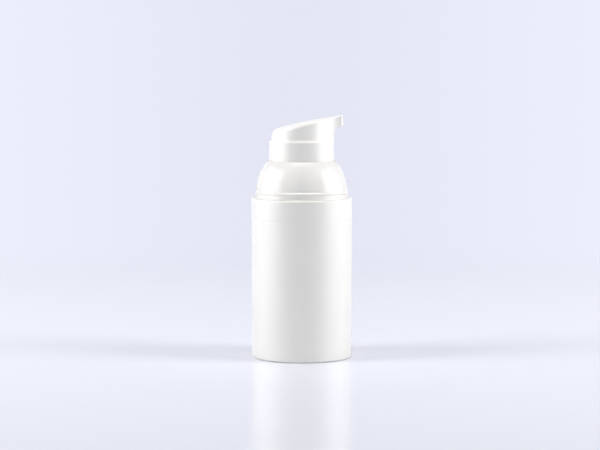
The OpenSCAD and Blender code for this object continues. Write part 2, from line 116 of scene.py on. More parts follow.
# Head
SKIRT_R = top_mm("actuator").y
SKIRT_Z = foot_mm("actuator").z
OPENING_R = SKIRT_R + HEAD_GAP
LIP_R = OPENING_R + LIP_W
SKIRT_WALL = 1.1
SHOULDER_Z = LIP_Z + 6.9
SHOULDER_W = 0.75
SHOULDER_ROUND = 0.35
SKIRT_BEVEL = 0.1
COVE_ROUND = 1.6
HEAD_R = SKIRT_R - SHOULDER_W
HEAD_WALL = 1.3
CAVITY_R = HEAD_R - HEAD_WALL
RIB_T = 0.9
RIB_SPACING = 60
HEAD_LEAN = math.radians(2)
COVE_A = math.acos(1 - (SHOULDER_W - SHOULDER_ROUND) / COVE_ROUND)
COVE_H = COVE_ROUND * math.sin(COVE_A)
LEAN_Z = SHOULDER_Z - COVE_H / 2
PAD_RISE = 6.1
PAD_SLOPE = math.radians(11.8)
PAD_CROWN = 0.2
PAD_WALL = 1.4
PAD_MID_Z = SHOULDER_Z + PAD_RISE
EDGE_ROUND = 1.9
TIP_EDGE_ROUND = 0.45

# Spout
SPOUT_REACH = top_mm("actuator").x
SPOUT_W = 5.2
FLARE_R = 8.0
TIP_ROUND = 1.3
ROOT_Z = SHOULDER_Z + 2.2
ROOT_ROUND = 2.9
UNDER_SLOPE = math.radians(28)
LOWER_EDGE_ROUND = 0.3
CHANNEL_R = 0.8
CHANNEL_WALL = 0.8
CHANNEL_Z = PAD_MID_Z - 1.75 / math.cos(PAD_SLOPE)
OUTLET_BEVEL = 0.2

# Stem and spring
STEM_R = 2.6
STEM_BORE_R = 1.5
STEM_TOP_Z = top_mm("stem").z
SOCKET_Z = STEM_TOP_Z - 4.9
SOCKET_WALL = 1.35
COIL_LOW_Z = foot_mm("return_spring").z
COIL_TOP_Z = top_mm("return_spring").z
WIRE_R = 0.35
COIL_R = 4.85
COIL_TURNS = 6
COIL_STEPS = 48
WIRE_SIDES = 20
COIL_NARROWING = 0.25

# How fine the meshes are, from which angle an edge is sharp, and how far a cut goes past its piece
TURNS = 256
ARC_STEPS = 8
EDGE_STEPS = 12
COVE_STEPS = 16
UNDER_STEPS = 20
MEET_TRIES = 12
SHARP = math.radians(40)
CUT = 1.0


def round_corner(before, corner, after, radius, steps=ARC_STEPS):
    """Points of the arc that rounds a corner, as a conic, so that a straight corner works too."""
    back, on = before - corner, after - corner
    half = back.angle(on) / 2
    run = min(radius / math.tan(half), 0.49 * back.length, 0.49 * on.length)
    first = corner + back.normalized() * run
    last = corner + on.normalized() * run
    points = []
    for i in range(steps + 1):
        u = i / steps
        a, b, c = (1 - u) ** 2, 2 * math.sin(half) * u * (1 - u), u * u
        points.append((first * a + corner * b + last * c) / (a + b + c))
    return points


def arc(centre, radius, start, end, steps):
    """Points (r, z) along an arc, from one angle to the other in degrees."""
    turn = [math.radians(start + (end - start) * i / steps) for i in range(steps + 1)]
    return [(centre[0] + radius * math.cos(a), centre[1] + radius * math.sin(a)) for a in turn]


def outline(corners):
    """A closed outline from (r, z) points and (r, z, radius) round corners."""
    spots = [Vector(c[:2]) for c in corners]
    points = []
    for i, c in enumerate(corners):
        if len(c) == 3:
            points += round_corner(spots[i - 1], spots[i], spots[(i + 1) % len(spots)], c[2])
        else:
            points.append(spots[i])
    return points


def snap_band(radius, proud, z, height, way):
    """Corners of a bevelled ring on a round wall. way is 1 going up and -1 going down."""
    bevel = min(proud, height / 3)
    half = way * height / 2
    return [
        (radius, z - half, 0.05),
        (radius + proud, z - half + way * bevel, 0.05),
        (radius + proud, z + half - way * bevel, 0.05),
        (radius, z + half, 0.05),
    ]


def new_object(name, bm):
    """An object from a bmesh in millimetres, with its faces outwards."""
    bmesh.ops.remove_doubles(bm, verts=bm.verts, dist=1e-5)
    bmesh.ops.recalc_face_normals(bm, faces=bm.faces)
    bm.transform(Matrix.Scale(MM, 4))
    mesh = bpy.data.meshes.new(name)
    bm.to_mesh(mesh)
    bm.free()
    made = bpy.data.objects.new(name, mesh)
    bpy.context.scene.collection.objects.link(made)
    return made


def turned(bm, points, turns):
    """Rings of corners from (r, z) points turned round the axis."""
    angles = [2 * math.pi * k / turns for k in range(turns)]
    return [[bm.verts.new((r * math.cos(a), r * math.sin(a), z)) for a in angles] for r, z in points]


def lathe(name, points, turns=TURNS):
    """A closed outline of (r, z) points turned round the axis."""
    bm = bmesh.new()
    rings = turned(bm, points, turns)
    for i, ring in enumerate(rings):
        below = rings[i - 1]
        for k in range(turns):
            bm.faces.new((below[k - 1], below[k], ring[k], ring[k - 1]))
    return new_object(name, bm)


def baked(made):
    """Applies an object's modifiers, so that its mesh is what is seen."""
    bpy.context.view_layer.update()
    graph = bpy.context.evaluated_depsgraph_get()
    mesh = bpy.data.meshes.new_from_object(made.evaluated_get(graph), depsgraph=graph)
    made.modifiers.clear()
    made.data = mesh
    return made


def carve(target, operation, *tools):
    """Cuts or joins closed tools with the target, and removes them."""
    for tool in tools:
        step = target.modifiers.new(tool.name, "BOOLEAN")
        step.operation = operation
        step.solver = "EXACT"
        step.object = tool
    baked(target)
    for tool in tools:
        bpy.data.objects.remove(tool)
    return target


def smooth(made):
    """Smooth faces, sharp only at real corners, with flat faces kept flat in the light."""
    made.data.polygons.foreach_set("use_smooth", [True] * len(made.data.polygons))
    made.data.set_sharp_from_angle(angle=SHARP)
    even = made.modifiers.new("even_light", "WEIGHTED_NORMAL")
    even.keep_sharp = True
    return baked(made)


def settle(made, body, material, slot, *nodes):
    """Gives a finished piece its material and its place in the frame."""
    made.data.materials.clear()
    made.data.materials.append(material)
    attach(made, body)
    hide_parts(*nodes)
    return made


# Materials

PP_IOR = 1.49
PE_IOR = 1.51


def linear(hex_colour):
    """An sRGB hex colour as linear red, green, blue and alpha."""
    channels = [int(hex_colour[i:i + 2], 16) / 255 for i in (1, 3, 5)]
    return [c / 12.92 if c <= 0.04045 else ((c + 0.055) / 1.055) ** 2.4 for c in channels] + [1]


def feed(tree, node, inputs):
    """Gives a node its inputs, each as a link or as a value."""
    for name, value in inputs.items():
        if isinstance(value, bpy.types.NodeSocket):
            tree.links.new(value, node.inputs[name])
        else:
            node.inputs[name].default_value = value


def add(tree, kind, inputs=None, **settings):
    """Adds a node with its settings, its values and its links."""
    made = tree.nodes.new(kind)
    for name, value in settings.items():
        setattr(made, name, value)
    feed(tree, made, inputs or {})
    return made


def maths(tree, operation, *values):
    """Result of a sum on sockets or numbers."""
    return add(tree, "ShaderNodeMath", dict(enumerate(values)), operation=operation).outputs[0]


def noise(tree, place, size, detail):
    """Noise whose lumps have a size in millimetres."""
    inputs = {"Vector": place, "Scale": 1 / (size * MM), "Detail": detail}
    return add(tree, "ShaderNodeTexNoise", inputs).outputs["Fac"]


def stretched(tree, place, scale):
    """A place with its axes scaled, so that a pattern on it runs longer along the smaller ones."""
    return add(tree, "ShaderNodeMapping", {"Vector": place, "Scale": scale}).outputs["Vector"]


def blend(tree, share, first, second):
    """A colour between two hex colours."""
    inputs = {"Factor": share, "A": linear(first), "B": linear(second)}
    return add(tree, "ShaderNodeMix", inputs, data_type="RGBA").outputs["Result"]


def spread(tree, value, low, high):
    """A value from 0 to 1 brought between two others."""
    inputs = {"Value": value, "To Min": low, "To Max": high}
    return add(tree, "ShaderNodeMapRange", inputs).outputs["Result"]


def relief(tree, height, strength, depth):
    """Normals of a fine relief with a depth in millimetres."""
    inputs = {"Height": height, "Strength": strength, "Distance": depth * MM}
    return add(tree, "ShaderNodeBump", inputs).outputs["Normal"]


def new_material(name):
    """A material with its node tree, its shader and the place on the piece."""
    made = bpy.data.materials.new(name)
    made.use_nodes = True
    tree = made.node_tree
    place = add(tree, "ShaderNodeTexCoord").outputs["Object"]
    return made, tree, tree.nodes["Principled BSDF"], place


def satin_polypropylene():
    # Injection moulded PP from a spark-eroded mould: a fine 0.3 mm grain breaks every reflection
    # into a broad sheen, and the wall thickness clouds the white by a hair.
    made, tree, shader, place = new_material("satin_polypropylene")
    grain = noise(tree, place, 0.3, 3.0)
    cloud = noise(tree, place, 14, 2.0)
    feed(tree, shader, {
        "Base Color": blend(tree, cloud, "#F5F3EE", "#F1EFEA"),
        "Roughness": spread(tree, grain, 0.38, 0.46),
        "Normal": relief(tree, grain, 0.25, 0.02),
        "IOR": PP_IOR,
    })
    return made


def gloss_polypropylene():
    # PP from a polished mould: windows mirror crisply in it, bent a little by the 6 mm waves
    # that the shrinking wall leaves.
    made, tree, shader, place = new_material("gloss_polypropylene")
    wave = noise(tree, place, 6, 1.0)
    haze = noise(tree, place, 1.2, 4.0)
    feed(tree, shader, {
        "Base Color": blend(tree, wave, "#F6F4EF", "#F3F1EC"),
        "Roughness": spread(tree, haze, 0.02, 0.04),
        "Normal": relief(tree, wave, 0.2, 0.02),
        "IOR": PP_IOR,
    })
    return made


def semi_gloss_polypropylene():
    # PP from a fine-ground mould: the head mirrors softly, so windows melt into the white.
    made, tree, shader, place = new_material("semi_gloss_polypropylene")
    grind = noise(tree, place, 0.5, 3.0)
    wave = noise(tree, place, 7, 1.0)
    feed(tree, shader, {
        "Base Color": blend(tree, wave, "#F6F4EF", "#F3F1EC"),
        "Roughness": spread(tree, grind, 0.33, 0.38),
        "Normal": relief(tree, grind, 0.08, 0.02),
        "IOR": PP_IOR,
    })
    return made


def natural_polypropylene():
    # Unpigmented PP of the pump's inner pieces: milky, a little see-through, with fine flow streaks
    # along the axis.
    made, tree, shader, place = new_material("natural_polypropylene")
    streak = noise(tree, stretched(tree, place, (1.0, 1.0, 0.15)), 0.8, 3.0)
    feed(tree, shader, {
        "Base Color": blend(tree, streak, "#DFE2E1", "#EBEDEC"),
        "Normal": relief(tree, streak, 0.15, 0.02),
        "Roughness": 0.32,
        "IOR": PP_IOR,
        "Subsurface Weight": 0.2,
        "Subsurface Radius": (1.0, 1.0, 1.0),
        "Subsurface Scale": 0.8 * MM,
    })
    return made


def soft_polyethylene(name, dark, light):
    # LDPE of the seals: waxy and soft to the eye, mottled at 2 mm where the mould cooled unevenly.
    made, tree, shader, place = new_material(name)
    mottle = noise(tree, place, 2, 4.0)
    feed(tree, shader, {
        "Base Color": blend(tree, mottle, dark, light),
        "Roughness": spread(tree, mottle, 0.38, 0.5),
        "IOR": PE_IOR,
    })
    return made


def foamed_polyethylene():
    # Closed-cell PE foam of the gasket: 0.25 mm cells show as pits on every cut face, and painted shade
    # darkens each pit towards its middle.
    made, tree, shader, place = new_material("foamed_polyethylene")
    pits = add(tree, "ShaderNodeTexVoronoi", {"Vector": place, "Scale": 1 / (0.25 * MM)})
    pits_and_shade = pits.outputs["Distance"]
    feed(tree, shader, {
        # Painted shade: the colour is darker towards the middle of each pit.
        "Base Color": blend(tree, pits_and_shade, "#C9CBCD", "#E2E3E4"),
        "Normal": relief(tree, pits_and_shade, 0.5, 0.05),
        "Roughness": 0.8,
    })
    return made


def drawn_stainless_wire():
    # Stainless spring wire, drawn through a die: fine rings of scratches round the coil's axis.
    made, tree, shader, place = new_material("drawn_stainless_wire")
    scratch = noise(tree, stretched(tree, place, (0.2, 0.2, 1.0)), 0.08, 2.0)
    feed(tree, shader, {
        "Base Color": linear("#C8C6C3"),
        "Metallic": 1.0,
        "Roughness": spread(tree, scratch, 0.18, 0.36),
        "Normal": relief(tree, scratch, 0.2, 0.01),
    })
    return made


def lapped_stainless_ball():
    # Lapped stainless ball: a mirror with a faint haze.
    made, tree, shader, place = new_material("lapped_stainless_ball")
    haze = noise(tree, place, 0.4, 3.0)
    feed(tree, shader, {
        "Base Color": linear("#CCCBC9"),
        "Metallic": 1.0,
        "Roughness": spread(tree, haze, 0.05, 0.14),
    })
    return made


# Bottle and collar


def bottle():
    """Bottle: foot ring, drafted wall, prouder upper band with a fine lip, rim, mouth and bore."""
    floor_z = BASE_RECESS + FLOOR_T
    groove = snap_band(MOUTH_R, SNAP_PROUD + PLUG_GAP, SNAP_Z, SNAP_H + 2 * RUNNING_GAP, -1)
    return lathe("bottle", outline([
        (VENT_R, BASE_RECESS, 0.1),
        (FOOT_R - FOOT_W - BASE_RECESS, BASE_RECESS, 0.3),
        (FOOT_R - FOOT_W, 0.0, 0.2),
        (FOOT_R, 0.0, FOOT_ROUND),
        (WALL_R, SEAM_Z - SEAM_FALL, 0.1),
        (BODY_R, SEAM_Z, 0.06),
        (BODY_R - SEAM_LIP, SEAM_Z + SEAM_FALL, 0.15),
        (BODY_R - SEAM_LIP, BODY_H, RIM_ROUND),
        (MOUTH_R + MOUTH_CHAMFER, BODY_H, 0.15),
        (MOUTH_R, BODY_H - MOUTH_CHAMFER, 0.1),
        *groove,
        (MOUTH_R, SHELF_Z, 0.05),
        (BORE_R, SHELF_Z, 0.1),
        (BORE_R, floor_z, CORNER_IN),
        (VENT_R, floor_z, 0.1),
    ]))


def collar():
    """Collar: plug with its snap ring, neck, bead, dome, lip and the sleeve that guides the head."""
    inner_r = NECK_R - COLLAR_WALL
    start = math.degrees(math.asin((BEAD_Z + BEAD_H - DOME_Z) / DOME_R))
    end = math.degrees(math.acos(LIP_R / DOME_R))
    dome = arc((0, DOME_Z), DOME_R, start, end, 48)
    roof_end = math.degrees(math.acos((OPENING_R + GUIDE_WALL) / inner_r))
    roof = arc((0, DOME_Z), inner_r, roof_end, 0, 32)
    return lathe("collar", outline([
        (inner_r, PLUG_Z, 0.1),
        (NECK_R, PLUG_Z, 0.15),
        *snap_band(NECK_R, SNAP_PROUD, SNAP_Z, SNAP_H, 1),
        (NECK_R, BODY_H + PLUG_GAP),
        (NECK_R + NECK_COVE, BODY_H + PLUG_GAP),
        (NECK_R, BODY_H + 2 * PLUG_GAP, NECK_COVE),
        (NECK_R, BEAD_Z, 0.25),
        (BEAD_R, BEAD_Z + BEAD_PROUD, 0.25),
        (BEAD_R, BEAD_Z + BEAD_H - BEAD_PROUD, 0.25),
        *dome[:-1],
        (*dome[-1], LIP_ROUND),
        (OPENING_R, LIP_Z, LIP_ROUND),
        (OPENING_R, LIP_Z - GUIDE_DEPTH, 0.1),
        (OPENING_R + GUIDE_WALL, LIP_Z - GUIDE_DEPTH, 0.1),
        *roof,
    ]))


# Head

# Faces up the skin: skirt, shoulder or spout's root, cove or underside, lower edge, wall, rolled edge
SKIN_STEPS = (3, 8, 14, 8, 6, 12)


def pad_z(x):
    """Height of the finger pad: a sloping line with a slight crown."""
    half = (SPOUT_REACH + HEAD_R) / 2
    middle = (SPOUT_REACH - HEAD_R) / 2
    crown = PAD_CROWN * ((middle / half) ** 2 - ((x - middle) / half) ** 2)
    return PAD_MID_Z + x * math.tan(PAD_SLOPE) + crown


def pad_edge(x):
    """Radius of the pad's rolled edge, smaller towards the tip."""
    return EDGE_ROUND + (TIP_EDGE_ROUND - EDGE_ROUND) * (x + HEAD_R) / (SPOUT_REACH + HEAD_R)


def half_plan():
    """Half of the head's plan from tip to back: points with their outward normals."""
    flare_y = SPOUT_W / 2 + FLARE_R
    flare_x = math.sqrt((HEAD_R + FLARE_R) ** 2 - flare_y ** 2)
    flare_a = math.atan2(flare_y, flare_x)
    tip_x = SPOUT_REACH - TIP_ROUND
    tip_a = math.asin((flare_x - tip_x) / (FLARE_R + TIP_ROUND))
    tip_y = flare_y - (FLARE_R + TIP_ROUND) * math.cos(tip_a)
    square = math.pi / 2
    face = [(Vector((SPOUT_REACH, tip_y * i / 6)), Vector((1, 0))) for i in range(6)]

    def run(centre, radius, start, end, steps, first):
        for i in range(first, steps + 1):
            a = start + (end - start) * i / steps
            unit = Vector((math.cos(a), math.sin(a)))
            yield Vector(centre) + radius * unit, unit

    return [
        *face,
        *run((tip_x, tip_y), TIP_ROUND, 0, square - tip_a, 10, 0),
        *((p, -n) for p, n in run(
            (flare_x, flare_y), FLARE_R, -square - tip_a, flare_a - math.pi, 36, 1)),
        *run((0, 0), HEAD_R, flare_a, math.pi, 72, 1),
    ]


def wall_point(point, normal, z):
    """Where the leaning wall that stands on a plan point is at a height."""
    return point - normal * (z - LEAN_Z) * math.tan(HEAD_LEAN)


def underside_z(r):
    """Height of the spout's underside at a radius: a hollow round, then a slope."""
    turn_r = SKIRT_R + ROOT_ROUND * (1 - math.sin(UNDER_SLOPE))
    if r < turn_r:
        return ROOT_Z + math.sqrt(ROOT_ROUND ** 2 - (SKIRT_R + ROOT_ROUND - r) ** 2)
    return ROOT_Z + ROOT_ROUND * math.cos(UNDER_SLOPE) + (r - turn_r) * math.tan(UNDER_SLOPE)


def space(flat, z):
    """A plan point at a height."""
    return Vector((flat[0], flat[1], z))


def head_path(point, normal):
    """One line up the head's skin, with the lengths along it at which its stretches end."""
    wall_r = wall_point(point, normal, SHOULDER_Z + COVE_H).length
    across = point.normalized()
    path = [
        space(across * (SKIRT_R - SKIRT_BEVEL), SKIRT_Z),
        space(across * SKIRT_R, SKIRT_Z + SKIRT_BEVEL),
    ]
    edge_z = SHOULDER_Z - SHOULDER_ROUND
    crease_r = SKIRT_R - SHOULDER_ROUND
    path.append(space(across * SKIRT_R, edge_z))
    marks = [length_of(path)]
    if wall_r < SKIRT_R:
        # Over the shoulder's round edge, as far as the wall lets it go
        stop = 90
        if wall_r >= crease_r:
            stop = math.degrees(math.acos(1 - (SKIRT_R - wall_r) / SHOULDER_ROUND))
        edge = arc((crease_r, edge_z), SHOULDER_ROUND, 0, stop, EDGE_STEPS)
        path += [space(across * r, z) for r, z in edge[1:]]
    if wall_r < crease_r:
        # A cove leads from the shoulder up into the wall
        marks.append(length_of(path))
        turn = math.degrees(math.acos(1 - (crease_r - wall_r) / COVE_ROUND))
        rise = COVE_ROUND * math.sin(math.radians(turn))
        cove = arc((wall_r + COVE_ROUND, SHOULDER_Z + rise), COVE_ROUND, 180 + turn, 180, COVE_STEPS)
        path += [space(across * r, z) for r, z in cove[1:]]
        marks.append(length_of(path))
        marks.append(marks[-1] + LOWER_EDGE_ROUND)
    elif wall_r < SKIRT_R:
        # Beside the spout the wall stands on the round edge, between the two other ways
        share = (SKIRT_R - wall_r) / SHOULDER_ROUND
        marks.append(marks[0] + (ROOT_Z - edge_z) * (1 - share) + (SHOULDER_Z - edge_z) * share)
        marks.append(marks[-1] + LOWER_EDGE_ROUND)
        marks.append(marks[-1] + LOWER_EDGE_ROUND)
    else:
        # The spout's root, its hollow underside, and the rounded corner where the leaning wall meets it
        path.append(space(across * SKIRT_R, ROOT_Z))
        marks.append(length_of(path))
        z = ROOT_Z
        for _ in range(MEET_TRIES):
            foot = wall_point(point, normal, z)
            z = underside_z(foot.length)
        reach = foot.length - SKIRT_R
        radii = [SKIRT_R + reach * (i / UNDER_STEPS) ** 2 for i in range(1, UNDER_STEPS)]
        path += [space(foot.normalized() * r, underside_z(r)) for r in radii]
        above = space(wall_point(point, normal, z + 1), z + 1)
        corner = round_corner(path[-1], space(foot, z), above, LOWER_EDGE_ROUND)
        while (path[-1] - space(foot, z)).length < (corner[0] - space(foot, z)).length:
            path.pop()
        marks.append(max(length_of(path + corner[:1]), marks[-1] + LOWER_EDGE_ROUND))
        path += corner
        marks.append(max(length_of(path), marks[-1] + LOWER_EDGE_ROUND))
    # Up the wall and over the pad's rolled edge
    roll = pad_edge(point.x)
    top = pad_z(point.x) - roll
    lean = (top - LEAN_Z) * math.tan(HEAD_LEAN)
    path.append(space(wall_point(point, normal, top), top))
    marks.append(length_of(path))
    for i in range(1, EDGE_STEPS + 1):
        turn = math.radians(90 * i / EDGE_STEPS)
        spot = point - normal * (lean + roll * (1 - math.cos(turn)))
        path.append(space(spot, pad_z(spot.x) - roll * (1 - math.sin(turn))))
    marks.append(length_of(path))
    return path, marks


def length_of(path):
    """Length of a line through points."""
    return sum((b - a).length for a, b in zip(path, path[1:]))


def sample(path, marks, steps):
    """Points along a path: so many in each stretch that the marks end."""
    wanted = [0.0]
    start = 0.0
    for end, count in zip(marks, steps):
        wanted += [start + (end - start) * i / count for i in range(1, count + 1)]
        start = end
    points = []
    done, i = 0.0, 0
    for distance in wanted:
        while i < len(path) - 2 and done + (path[i + 1] - path[i]).length < distance - 1e-9:
            done += (path[i + 1] - path[i]).length
            i += 1
        step = path[i + 1] - path[i]
        share = min(1.0, (distance - done) / step.length)
        points.append(path[i] + step * share)
    return points


def head_form():
    """Head's outer form: every plan point's line up the skin, closed by the pad and a flat foot."""
    half = [sample(*head_path(p, n), SKIN_STEPS) for p, n in half_plan()]
    flip = [[Vector((v.x, -v.y, v.z)) for v in line] for line in half]
    lines = half + flip[-2:0:-1]
    bm = bmesh.new()
    grid = [[bm.verts.new(v) for v in line] for line in lines]
    count = len(grid)
    for i in range(count):
        for a, b in zip(range(len(grid[0])), range(1, len(grid[0]))):
            bm.faces.new((grid[i][a], grid[i - 1][a], grid[i - 1][b], grid[i][b]))
    for i in range(1, count // 2):
        across = [grid[i], grid[i + 1], grid[-i - 1], grid[-i]]
        for level in (0, -1):
            bm.faces.new(list(dict.fromkeys(line[level] for line in across)))
    for level in (0, -1):
        bm.faces.new((grid[0][level], grid[1][level], grid[-1][level]))
    return new_object("head", bm)


def drum(name, points, turns=96):
    """A closed solid from an outline that starts and ends on the axis."""
    bm = bmesh.new()
    rings = turned(bm, points[1:-1], turns)
    for low, high in zip(rings, rings[1:]):
        for k in range(turns):
            bm.faces.new((low[k - 1], low[k], high[k], high[k - 1]))
    for ring, pole in ((rings[0], points[0]), (rings[-1], points[-1])):
        centre = bm.verts.new((0, 0, pole[1]))
        for k in range(turns):
            bm.faces.new((ring[k - 1], ring[k], centre))
    return new_object(name, bm)


def along_channel(name, points):
    """A round solid along the outlet channel, from (radius, distance) points."""
    made = drum(name, points)
    turn = Matrix.Rotation(math.pi / 2 - PAD_SLOPE, 4, "Y")
    made.data.transform(Matrix.Translation((0, 0, CHANNEL_Z * MM)) @ turn)
    return made


def block(name, low, high, turn=0.0):
    """A box between two corners, turned round the axis."""
    bm = bmesh.new()
    bmesh.ops.create_cube(bm, size=1)
    size = [h - l for l, h in zip(low, high)]
    middle = [(h + l) / 2 for l, h in zip(low, high)]
    place = Matrix.Translation(middle) @ Matrix.Diagonal((*size, 1))
    bm.transform(Matrix.Rotation(turn, 4, "Z") @ place)
    return new_object(name, bm)


def head():
    """Head: the outer form, hollowed round its socket, channel wall and ribs."""
    made = head_form()
    bore_r = SKIRT_R - SKIRT_WALL
    roof = PAD_MID_Z - PAD_WALL
    hollow = drum("hollow", [
        (0, SKIRT_Z - CUT), (bore_r, SKIRT_Z - CUT), (bore_r, SHOULDER_Z - COVE_H),
        (CAVITY_R, SHOULDER_Z), (CAVITY_R, roof), (0, roof),
    ], turns=192)
    for v in hollow.data.vertices:
        if v.co.z > (roof - 0.01) * MM:
            v.co.z += v.co.x * math.tan(PAD_SLOPE)
    rib_low = (0, -RIB_T / 2, SHOULDER_Z)
    rib_high = (CAVITY_R + CUT / 2, RIB_T / 2, PAD_MID_Z + 4 * CUT)
    angles = range(RIB_SPACING, 360, RIB_SPACING)
    ribs = [block("rib", rib_low, rib_high, math.radians(a)) for a in angles]
    socket_r = STEM_R + RUNNING_GAP + SOCKET_WALL
    socket = drum("socket", [(0, SOCKET_Z), (socket_r, SOCKET_Z), (socket_r, PAD_MID_Z), (0, PAD_MID_Z)])
    wall_r = CHANNEL_R + CHANNEL_WALL
    pipe = along_channel("pipe", [(0, 0), (wall_r, 0), (wall_r, SPOUT_REACH), (0, SPOUT_REACH)])
    carve(hollow, "DIFFERENCE", socket, pipe, *ribs)
    bore = drum("bore", [
        (0, SOCKET_Z - CUT), (STEM_R + RUNNING_GAP, SOCKET_Z - CUT), (STEM_R + RUNNING_GAP, STEM_TOP_Z),
        (STEM_BORE_R, STEM_TOP_Z), (STEM_BORE_R, CHANNEL_Z), (0, CHANNEL_Z),
    ])
    mouth = SPOUT_REACH / math.cos(PAD_SLOPE) + 0.5 * math.sin(PAD_SLOPE)
    channel = along_channel("channel", [
        (0, 0), (CHANNEL_R, 0), (CHANNEL_R, mouth - OUTLET_BEVEL),
        (CHANNEL_R + 2 * OUTLET_BEVEL, mouth + OUTLET_BEVEL), (0, mouth + OUTLET_BEVEL),
    ])
    return carve(made, "DIFFERENCE", hollow, bore, channel)


# Spring, by geometry nodes


def coil_tree(material):
    """A wire on a helix whose pitch narrows towards both ends."""
    tree = bpy.data.node_groups.new("coil", "GeometryNodeTree")
    sizes = {
        "Coil radius": COIL_R * MM,
        "Wire radius": WIRE_R * MM,
        "Turns": COIL_TURNS,
        "Low": (COIL_LOW_Z + WIRE_R) * MM,
        "Rise": (COIL_TOP_Z - COIL_LOW_Z - 2 * WIRE_R) * MM,
        "Narrowing": COIL_NARROWING,
    }
    for name in sizes:
        tree.interface.new_socket(name, in_out="INPUT", socket_type="NodeSocketFloat")
    tree.interface.new_socket("Geometry", in_out="OUTPUT", socket_type="NodeSocketGeometry")
    given = add(tree, "NodeGroupInput").outputs
    line = add(tree, "GeometryNodeCurvePrimitiveLine")
    fine = add(tree, "GeometryNodeResampleCurve", {
        "Curve": line.outputs["Curve"], "Count": COIL_TURNS * COIL_STEPS + 1,
    })
    share = add(tree, "GeometryNodeSplineParameter").outputs["Factor"]
    turn = maths(tree, "MULTIPLY", maths(tree, "MULTIPLY", share, given["Turns"]), 2 * math.pi)
    ripple = maths(tree, "SINE", maths(tree, "MULTIPLY", share, 2 * math.pi))
    swing = maths(tree, "DIVIDE", maths(tree, "MULTIPLY", ripple, given["Narrowing"]), 2 * math.pi)
    pitch = maths(tree, "SUBTRACT", share, swing)
    spot = add(tree, "ShaderNodeCombineXYZ", {
        "X": maths(tree, "MULTIPLY", maths(tree, "COSINE", turn), given["Coil radius"]),
        "Y": maths(tree, "MULTIPLY", maths(tree, "SINE", turn), given["Coil radius"]),
        "Z": maths(tree, "ADD", maths(tree, "MULTIPLY", pitch, given["Rise"]), given["Low"]),
    })
    helix = add(tree, "GeometryNodeSetPosition", {
        "Geometry": fine.outputs["Curve"], "Position": spot.outputs["Vector"],
    })
    ring = add(tree, "GeometryNodeCurvePrimitiveCircle", {
        "Resolution": WIRE_SIDES, "Radius": given["Wire radius"],
    })
    wire = add(tree, "GeometryNodeCurveToMesh", {
        "Curve": helix.outputs["Geometry"], "Profile Curve": ring.outputs["Curve"], "Fill Caps": True,
    })
    real = add(tree, "GeometryNodeRealizeInstances", {"Geometry": wire.outputs["Mesh"]})
    dressed = add(tree, "GeometryNodeSetMaterial", {
        "Geometry": real.outputs["Geometry"], "Material": material,
    })
    add(tree, "NodeGroupOutput", {"Geometry": dressed.outputs["Geometry"]})
    return tree, sizes


def spring(material):
    """Spring: the coil's wire as a mesh."""
    made = bpy.data.objects.new("spring", bpy.data.meshes.new("spring"))
    bpy.context.scene.collection.objects.link(made)
    tree, sizes = coil_tree(material)
    grow = made.modifiers.new("coil", "NODES")
    grow.node_group = tree
    for socket in tree.interface.items_tree:
        if socket.in_out == "INPUT":
            grow[socket.identifier] = float(sizes[socket.name])
    return baked(made)


# The pieces

satin = satin_polypropylene()
gloss = gloss_polypropylene()
semi_gloss = semi_gloss_polypropylene()
natural = natural_polypropylene()
wire = drawn_stainless_wire()

settle(smooth(bottle()), "container", satin, "bottle_pp", "bottle_body")
settle(smooth(collar()), "container", gloss, "collar_pp", "shoulder_collar")
settle(smooth(head()), "head", semi_gloss, "head_pp", "actuator")
coil = settle(smooth(spring(wire)), "container", wire, "spring_steel", "return_spring")
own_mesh(coil)

inner = {
    "pump_housing": natural,
    "guide_ring": natural,
    "stem": natural,
    "piston_rod": natural,
    "pump_piston": soft_polyethylene("soft_polyethylene", "#D6DADC", "#E4E7E8"),
    "follower_piston": soft_polyethylene("wiper_polyethylene", "#D9DBDD", "#E9EAEB"),
    "mouth_gasket": foamed_polyethylene(),
    "inlet_ball": lapped_stainless_ball(),
}
for name, material in inner.items():
    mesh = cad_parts[name].data
    mesh.materials.clear()
    mesh.materials.append(material)


# Floor, background, light and camera

# Where the photograph was taken from, in millimetres and degrees
CAMERA = Vector((-0.59, -708.0, 108.5))
CAMERA_PITCH = 5.05
FOCAL_PIXELS = 2044
PICTURE_W = 600
SENSOR_W = 36.0

# The floor's radius in millimetres, and where round the bottle it fades into a painted glow in the
# backdrop's colour, in metres
FLOOR_R = 800
FADE_START = 0.16
FADE_END = 0.42

# Upright lamps: azimuth from the camera's side and distance of both edges, in degrees and metres.
# The windows are what glossy surfaces mirror, and the walls of light are what falls on everything.
WINDOW_LEFT = ((-57, 0.55), (-118, 0.85))
WINDOW_RIGHT = ((60, 0.55), (118, 0.85))
WINDOW_H = 0.58
WINDOW_LIGHT = 2.9
WALL_LEFT = ((-63.5, 0.55), (-87, 0.7))
WALL_RIGHT = ((63.5, 0.55), (87, 0.7))
WALL_H = 1.3
WALL_LIGHT = 4.4

# A square lamp overhead, and a small one high on the left, at an azimuth and an elevation
TOP_Z = 1.1
TOP_SIZE = 0.7
TOP_LIGHT = 2.5
SPOT_AIM = (-31, 70)
SPOT_SIZE = 0.06
SPOT_LIGHT = 8.0

# The room that the front mirrors, dark straight ahead and paler towards the windows, and the light
# that comes from all round
ROOM_DARK = 0.0
ROOM_PALE = 1.5
AMBIENT = 0.03


def backdrop_glow(tree, sideways):
    """Colour of the backdrop's glow, with painted light that makes it paler away from the bottle's axis.
    """
    share = add(tree, "ShaderNodeMapRange", {
        "Value": maths(tree, "ABSOLUTE", sideways), "From Min": 0.01, "From Max": 0.16,
    })
    return blend(tree, share.outputs["Result"], "#E4E6F4", "#EDEFFC")


